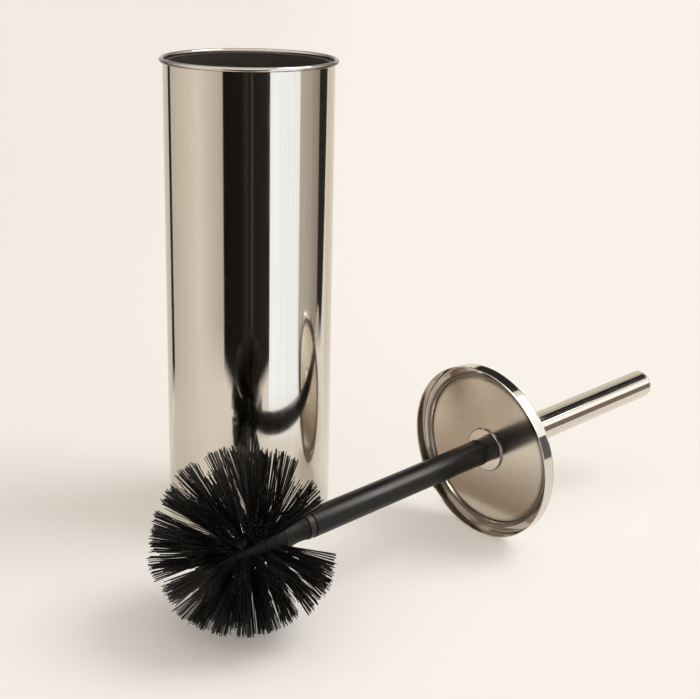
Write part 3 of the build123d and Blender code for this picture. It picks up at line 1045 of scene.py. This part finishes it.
class BRUSHHOLDER_OT_bristles(Operator):
    """Set the rows of bristle tufts in the head's core"""

    bl_idname = "brush_holder.bristles"
    bl_label = "Bristles"

    def execute(self, context):
        size = settings(context).head
        shaft = settings(context).shaft
        draw = random.Random(size.seed)
        nylon = plastic_material(context, BRISTLE_NYLON)
        core_top = -shaft.end - shaft.ring_length - size.neck_length
        middle = core_top - row_count() * size.row_pitch / 2 - size.row_shift
        centre = LID_CENTRE + BRUSH_DIR * middle + Vector((0, 0, size.ball_lift))
        for row, lean_angle in enumerate(ROW_LEANS):
            top = core_top - row * size.row_pitch
            station = top - size.row_pitch / 2
            paths = []
            for tuft in range(size.columns):
                turn = FIRST_COLUMN + 2 * math.pi * tuft / size.columns
                turn = part_columns(turn, PARTING_SHIFTS[row])
                turn += math.radians(draw.gauss(0.0, size.stray))
                radial = BRUSH_UP * math.cos(turn) + BRUSH_SIDE * math.sin(turn)
                across = BRUSH_SIDE * math.cos(turn) - BRUSH_UP * math.sin(turn)
                tilt = math.radians(lean_angle + draw.gauss(0.0, size.stray))
                lean = radial * math.cos(tilt) - BRUSH_DIR * math.sin(tilt)
                root = LID_CENTRE + BRUSH_DIR * station + radial * size.core_radius
                paths += tuft_paths(draw, size, root, lean, across, lean.cross(across), centre)
            low = top - size.row_pitch
            core_slice = band(size.spine_radius, size.core_radius, low, top, size.row_edge)
            bm = turned_mesh(core_slice, CORE_STEPS)
            for face in bm.faces:
                face.material_index = SLICE_SLOT
            filaments = filament_mesh("filaments", paths, size.filament)
            bm.from_mesh(filaments)
            bpy.data.meshes.remove(filaments)
            name = f"bristle_tufts_{row + 1}"
            piece = add_piece(name, bm, nylon, "head", [f"bristle_row_{row + 1}"])
            piece.data.materials.append(plastic_material(context, CORE_PLASTIC))
        return {"FINISHED"}


# Stage


class Card(NamedTuple):
    """A curved reflection card round the canister, seen only by steel further off than its reach.

    Angles are in degrees to the right of the line from the canister to the camera.
    """

    name: str
    start: float
    end: float
    radius: float
    glow: tuple
    tone: tuple
    low: float = 0.0
    high: float = 0.28
    rises: tuple = (0.0, 0.0)
    fade: float = 0.0005
    reach: float = 0.165
    apron: float = 0.0


COOL = (0.90, 0.953, 1.0)
WHITE = (1.0, 1.0, 0.99)
BEIGE = (1.0, 0.90, 0.78)
BROWN = (1.0, 0.82, 0.64)
CARDS = (
    Card(
        "Dark Front", -31.5, 24.5, 0.252, (0.008, 0.026), BEIGE, 0.006,
        rises=(0.026, 0.026), fade=0.016,
    ),
    Card("Brown Streak", -7.0, -1.5, 0.250, (0.030, 0.040), BROWN, 0.05, fade=0.03),
    Card("Pale Streak", 2.0, 4.2, 0.250, (0.085, 0.07), BROWN, 0.05, fade=0.03),
    Card("Bright Right", 24.5, 65.0, 0.30, (1.40, 1.28), COOL, 0.001, apron=0.16),
    Card("Beige Right", 65.0, 84.0, 0.31, (0.62, 0.50), BEIGE, fade=0.03, reach=0.255),
    Card("Brown Right", 84.0, 99.0, 0.31, (0.46, 0.32), BEIGE, fade=0.03, reach=0.255),
    Card(
        "Dark Right", 99.0, 121.0, 0.36, (0.03, 0.03), BEIGE,
        rises=(0.0, 0.30), fade=0.03, reach=0.29,
    ),
    Card("Shade Right", 121.0, 152.0, 0.37, (0.80, 0.84), BEIGE, 0.001, reach=0.06, apron=0.30),
    Card("Edge Left", -155.0, -127.5, 0.31, (0.78, 0.70), BEIGE, 0.001, reach=0.06, apron=0.25),
    Card("Dark Left", -127.5, -119.5, 0.31, (0.02, 0.02), BEIGE, 0.001, reach=0.20, apron=0.08),
    Card("Shade Left", -119.5, -72.0, 0.31, (0.64, 0.88), BEIGE, 0.001, reach=0.06, apron=0.25),
    Card("Shade Front", -62.0, -31.5, 0.31, (0.88, 0.60), BEIGE, fade=0.05),
)


class Strip(NamedTuple):
    """A flat reflection strip beside the lid, grip or shaft, seen only from within its reach.

    Soft is the share of its length and of its height over which it fades at each end.
    """

    name: str
    origin: tuple
    along: tuple
    up: tuple
    glow: float
    reach: float = 0.165
    tone: tuple = WHITE
    soft: tuple = (0.0, 0.0)
    one_sided: bool = False


STRIPS = (
    Strip("Grip Low", (0.12, -0.186, 0.030), (0.38, 0.0, 0.0), (0.0, 0.0, 0.048), 0.24, tone=BROWN),
    Strip("Grip Bright", (0.12, -0.186, 0.078), (0.38, 0.0, 0.0), (0.0, 0.0, 0.047), 1.4),
    Strip("Grip Dark", (0.222, -0.200, 0.165), (0.278, 0.0, 0.0), (0.0, 0.105, 0.0), 0.02),
    Strip("Grip Grey", (0.222, -0.095, 0.165), (0.278, 0.0, 0.0), (0.0, 0.10, 0.0), 0.60, tone=BEIGE),
    Strip("Lid Grey", (0.13, -0.26, 0.058), (0.10, 0.0, 0.0), (0.0, 0.017, 0.0565), 0.14),
    Strip("Lid White", (0.13, -0.243, 0.1145), (0.10, 0.0, 0.0), (0.0, 0.028, 0.043), 1.3),
    Strip(
        "Shaft Bright", (0.012, -0.1265, 0.150), (0.105, 0.0, 0.0), (0.0675, -0.15, 0.0),
        16.0, 0.30, soft=(0.26, 0.36), one_sided=True,
    ),
    Strip(
        "Shaft Dark", (0.055, 0.003, 0.150), (0.120, 0.0, 0.0), (-0.045, -0.115, 0.0),
        0.02, 0.30, soft=(0.1, 0.12), one_sided=True,
    ),
    Strip("Lid Dark", (0.105, -0.143, 0.166), (0.060, 0.0, 0.0), (0.0, 0.085, -0.036), 0.03, 0.10),
    Strip(
        "Plate Low", (0.072, -0.186, -0.045), (0.0, 0.14, 0.0), (0.0, 0.0, 0.095),
        0.30, 0.11, BROWN, (0.12, 0.45), one_sided=True,
    ),
)
CARD_STEPS = 24
FLOOR_RADIUS = 12.0
FLOOR_STEPS = 64
FLOOR_ROUGHNESS = 0.9
# The floor's painted shade at the left of the view, and where it turns pale across the camera's line
FLOOR_SHADE = 0.905
FLOOR_FALL = (-0.42, 0.06)
BLACK = (0.0, 0.0, 0.0, 1.0)
SENSOR_WIDTH = 36.0
CLIP_START = 0.01
CLIP_END = 60.0
KEY_DIRECTION = Vector((0.478, -0.362, 0.80))
FILL_DIRECTION = Vector((-0.10, -0.42, 0.90))


def rays_that_see(tree):
    """One for the rays that see a surface: the camera's, mirrored and refracted ones."""
    path = tree.nodes.new("ShaderNodeLightPath")
    seen = path.outputs["Is Camera Ray"]
    for ray in ("Is Glossy Ray", "Is Transmission Ray"):
        seen = calculate(tree, "MAXIMUM", seen, path.outputs[ray])
    return seen


def floor_material(studio):
    """Pale matt floor with painted shade that falls off a little to the left of the view, and a painted
    glow for the camera's and mirrored rays that lifts its shadows.
    """
    material, tree, shader, place = new_material("Pale Floor")
    stand_x, stand_y = studio.camera[:2]
    turned = add_node(
        tree, "ShaderNodeVectorRotate",
        Vector=place, Center=(stand_x, stand_y, 0.0), Angle=studio.heading,
    )
    parts = add_node(tree, "ShaderNodeSeparateXYZ", Vector=turned.outputs["Vector"])
    left, right = (stand_x + offset for offset in FLOOR_FALL)
    fall = map_range(tree, parts.outputs["X"], 0.0, 1.0, left, right)
    # Painted shade darkens the floor to the left; a painted glow, seen only by camera and mirrored rays,
    # lifts its shadows
    wire(
        tree, shader, Roughness=FLOOR_ROUGHNESS, Specular_IOR_Level=0.0,
        Base_Color=mixed(tree, fall, opaque(studio.floor, FLOOR_SHADE), opaque(studio.floor)),
        Emission_Color=opaque(studio.floor_glow),
        Emission_Strength=map_range(tree, rays_that_see(tree), 0.0, studio.floor_lift),
    )
    return material


def attribute(tree, name):
    """The value that a mesh keeps at its corners under a name."""
    node = tree.nodes.new("ShaderNodeAttribute")
    node.attribute_name = name
    return node.outputs["Fac"]


def card_material(name, tone, comparison, reach, one_sided=False):
    """A card that shows in reflections from nearer or from further off than a reach."""
    material, tree, shader, _ = new_material(name)
    path = tree.nodes.new("ShaderNodeLightPath")
    seen = calculate(tree, comparison, path.outputs["Ray Length"], reach)
    alpha = product(tree, seen, attribute(tree, "cover"))
    if one_sided:
        side = tree.nodes.new("ShaderNodeNewGeometry").outputs["Backfacing"]
        alpha = product(tree, alpha, map_range(tree, side, 1.0, 0.0))
    wire(
        tree, shader, Base_Color=BLACK, Specular_IOR_Level=0.0, Alpha=alpha,
        Emission_Color=opaque(tone), Emission_Strength=attribute(tree, "glow"),
    )
    return material


def add_stage(name, bm, material):
    """A stage object, which isn't part of the brush holder."""
    stage = add_object(name, bm, material)
    return stage


def add_sheet(name, rows, material):
    """A stage sheet for reflections, from rows of corners that are each a place, a glow and a cover."""
    bm = bmesh.new()
    glow_layer = bm.verts.layers.float.new("glow")
    cover_layer = bm.verts.layers.float.new("cover")
    grid = []
    for row in rows:
        verts = []
        for place, glow, cover in row:
            vert = bm.verts.new(place)
            vert[glow_layer] = glow
            vert[cover_layer] = cover
            verts.append(vert)
        grid.append(verts)
    for below, above in zip(grid, grid[1:]):
        for corner in range(len(below) - 1):
            bm.faces.new((below[corner], below[corner + 1], above[corner + 1], above[corner]))
    sheet = add_stage(name, bm, material)
    sheet.visible_camera = False
    sheet.visible_diffuse = False
    sheet.visible_shadow = False
    sheet.visible_transmission = False


def card_section(card, travel):
    """Radius, height and cover of a card's rows where it has travelled so far between its ends."""
    low = card.low + card.rises[travel > 0.5] * (2 * travel - 1) ** 2
    high = max(card.high, low + card.fade)
    top = (card.radius, high, 1.0)
    if card.apron:
        return ((card.radius - card.apron, low, 0.0), (card.radius, low, 1.0), top)
    return ((card.radius, low, 0.0), (card.radius, low + card.fade, 1.0), top)


def add_card(toward_camera, card):
    """One curved card, whose glow runs across it and which fades at its foot or along its apron."""
    columns = []
    for step in range(CARD_STEPS + 1):
        travel = step / CARD_STEPS
        angle = toward_camera + math.radians(card.start + (card.end - card.start) * travel)
        glow = card.glow[0] + (card.glow[1] - card.glow[0]) * travel
        column = []
        for radius, height, cover in card_section(card, travel):
            place = (radius * math.cos(angle), radius * math.sin(angle), height)
            column.append((place, glow, cover))
        columns.append(column)
    material = card_material(card.name, card.tone, "GREATER_THAN", card.reach)
    add_sheet(card.name, zip(*columns), material)


def soft_stations(soft):
    """Shares along a strip's side with the cover at each; a soft side fades at both ends."""
    if soft:
        return ((0.0, 0.0), (soft, 1.0), (1.0 - soft, 1.0), (1.0, 0.0))
    return ((0.0, 1.0), (1.0, 1.0))


def add_strip(strip):
    """One flat strip."""
    origin = Vector(strip.origin)
    along = Vector(strip.along)
    up = Vector(strip.up)
    rows = []
    for rise, row_cover in soft_stations(strip.soft[1]):
        row = []
        for travel, column_cover in soft_stations(strip.soft[0]):
            place = origin + along * travel + up * rise
            row.append((place, strip.glow, row_cover * column_cover))
        rows.append(row)
    material = card_material(strip.name, strip.tone, "LESS_THAN", strip.reach, strip.one_sided)
    add_sheet(strip.name, rows, material)


def add_sun(name, direction, tone, strength, spread, mirrored=False):
    """A broad soft light from one direction, which shows in reflections if it is mirrored."""
    lamp = bpy.data.lights.new(name, "SUN")
    lamp.color = tone
    lamp.energy = strength
    lamp.angle = spread
    holder = bpy.data.objects.new(name, lamp)
    holder.matrix_world = (-direction).to_track_quat("-Z", "Y").to_matrix().to_4x4()
    holder.visible_glossy = mirrored
    bpy.context.scene.collection.objects.link(holder)


def set_world(studio):
    """Even studio light, and the backdrop's own colour for what the camera and reflections see."""
    world = bpy.data.worlds.new("Studio")
    bpy.context.scene.world = world
    world.use_nodes = True
    tree = world.node_tree
    light = tree.nodes["Background"]
    wire(tree, light, Color=opaque(studio.even_light), Strength=studio.ambient)
    backdrop = add_node(tree, "ShaderNodeBackground", Color=opaque(studio.backdrop))
    mix = tree.nodes.new("ShaderNodeMixShader")
    tree.links.new(rays_that_see(tree), mix.inputs[0])
    tree.links.new(light.outputs[0], mix.inputs[1])
    tree.links.new(backdrop.outputs[0], mix.inputs[2])
    tree.links.new(mix.outputs[0], tree.nodes["World Output"].inputs["Surface"])


def add_camera(studio):
    """The camera at the photograph's viewing angle."""
    data = bpy.data.cameras.new("Camera")
    data.sensor_fit = "HORIZONTAL"
    data.sensor_width = SENSOR_WIDTH
    data.lens = studio.lens
    data.shift_y = studio.rise
    data.clip_start = CLIP_START
    data.clip_end = CLIP_END
    camera = bpy.data.objects.new("Camera", data)
    bpy.context.scene.collection.objects.link(camera)
    level = math.cos(studio.tilt)
    view = Vector((
        level * math.sin(studio.heading), level * math.cos(studio.heading), -math.sin(studio.tilt),
    ))
    turn = view.to_track_quat("-Z", "Y").to_matrix() @ Matrix.Rotation(studio.roll, 3, "Z")
    camera.matrix_world = Matrix.Translation(studio.camera) @ turn.to_4x4()
    bpy.context.scene.camera = camera


class BRUSHHOLDER_OT_studio(Operator):
    """Lay the pale floor, set the light, the reflection cards and the camera"""

    bl_idname = "brush_holder.studio"
    bl_label = "Studio"

    def execute(self, context):
        studio = settings(context).studio
        bm = bmesh.new()
        bmesh.ops.create_circle(bm, cap_ends=True, segments=FLOOR_STEPS, radius=FLOOR_RADIUS)
        add_stage("floor", bm, floor_material(studio))
        toward_camera = math.atan2(studio.camera[1], studio.camera[0])
        for card in CARDS:
            add_card(toward_camera, card)
        for strip in STRIPS:
            add_strip(strip)
        add_sun("Key", KEY_DIRECTION, studio.key_light, studio.key, studio.key_spread, mirrored=True)
        add_sun("Fill", FILL_DIRECTION, studio.fill_light, studio.fill, studio.fill_spread)
        set_world(studio)
        add_camera(studio)
        context.scene.view_settings.view_transform = "Standard"
        return {"FINISHED"}


class BRUSHHOLDER_PT_panel(Panel):
    """List the pieces of the brush holder"""

    bl_idname = "BRUSHHOLDER_PT_panel"
    bl_label = "Brush Holder"
    bl_space_type = "VIEW_3D"
    bl_region_type = "UI"
    bl_category = "Brush Holder"

    def draw(self, context):
        for operator in PIECES:
            self.layout.operator(operator.bl_idname)


PIECES = (
    BRUSHHOLDER_OT_canister,
    BRUSHHOLDER_OT_foot,
    BRUSHHOLDER_OT_lid,
    BRUSHHOLDER_OT_grip,
    BRUSHHOLDER_OT_shaft,
    BRUSHHOLDER_OT_neck,
    BRUSHHOLDER_OT_bristles,
    BRUSHHOLDER_OT_studio,
)
GROUPS = (CanisterSizes, LidSizes, GripSizes, ShaftSizes, HeadSizes, Finishes, StudioSettings)
CLASSES = (*GROUPS, BrushHolderSettings, *PIECES, BRUSHHOLDER_PT_panel)


def register():
    """Register the settings, the operators and the panel."""
    for entry in CLASSES:
        bpy.utils.register_class(entry)
    bpy.types.Scene.brush_holder = PointerProperty(type=BrushHolderSettings)


def unregister():
    """Remove what register added."""
    del bpy.types.Scene.brush_holder
    for entry in reversed(CLASSES):
        bpy.utils.unregister_class(entry)


def main():
    """Make every piece in order."""
    register()
    for operator in PIECES:
        group, action = operator.bl_idname.split(".")
        getattr(getattr(bpy.ops, group), action)()


if __name__ == "__main__":
    main()
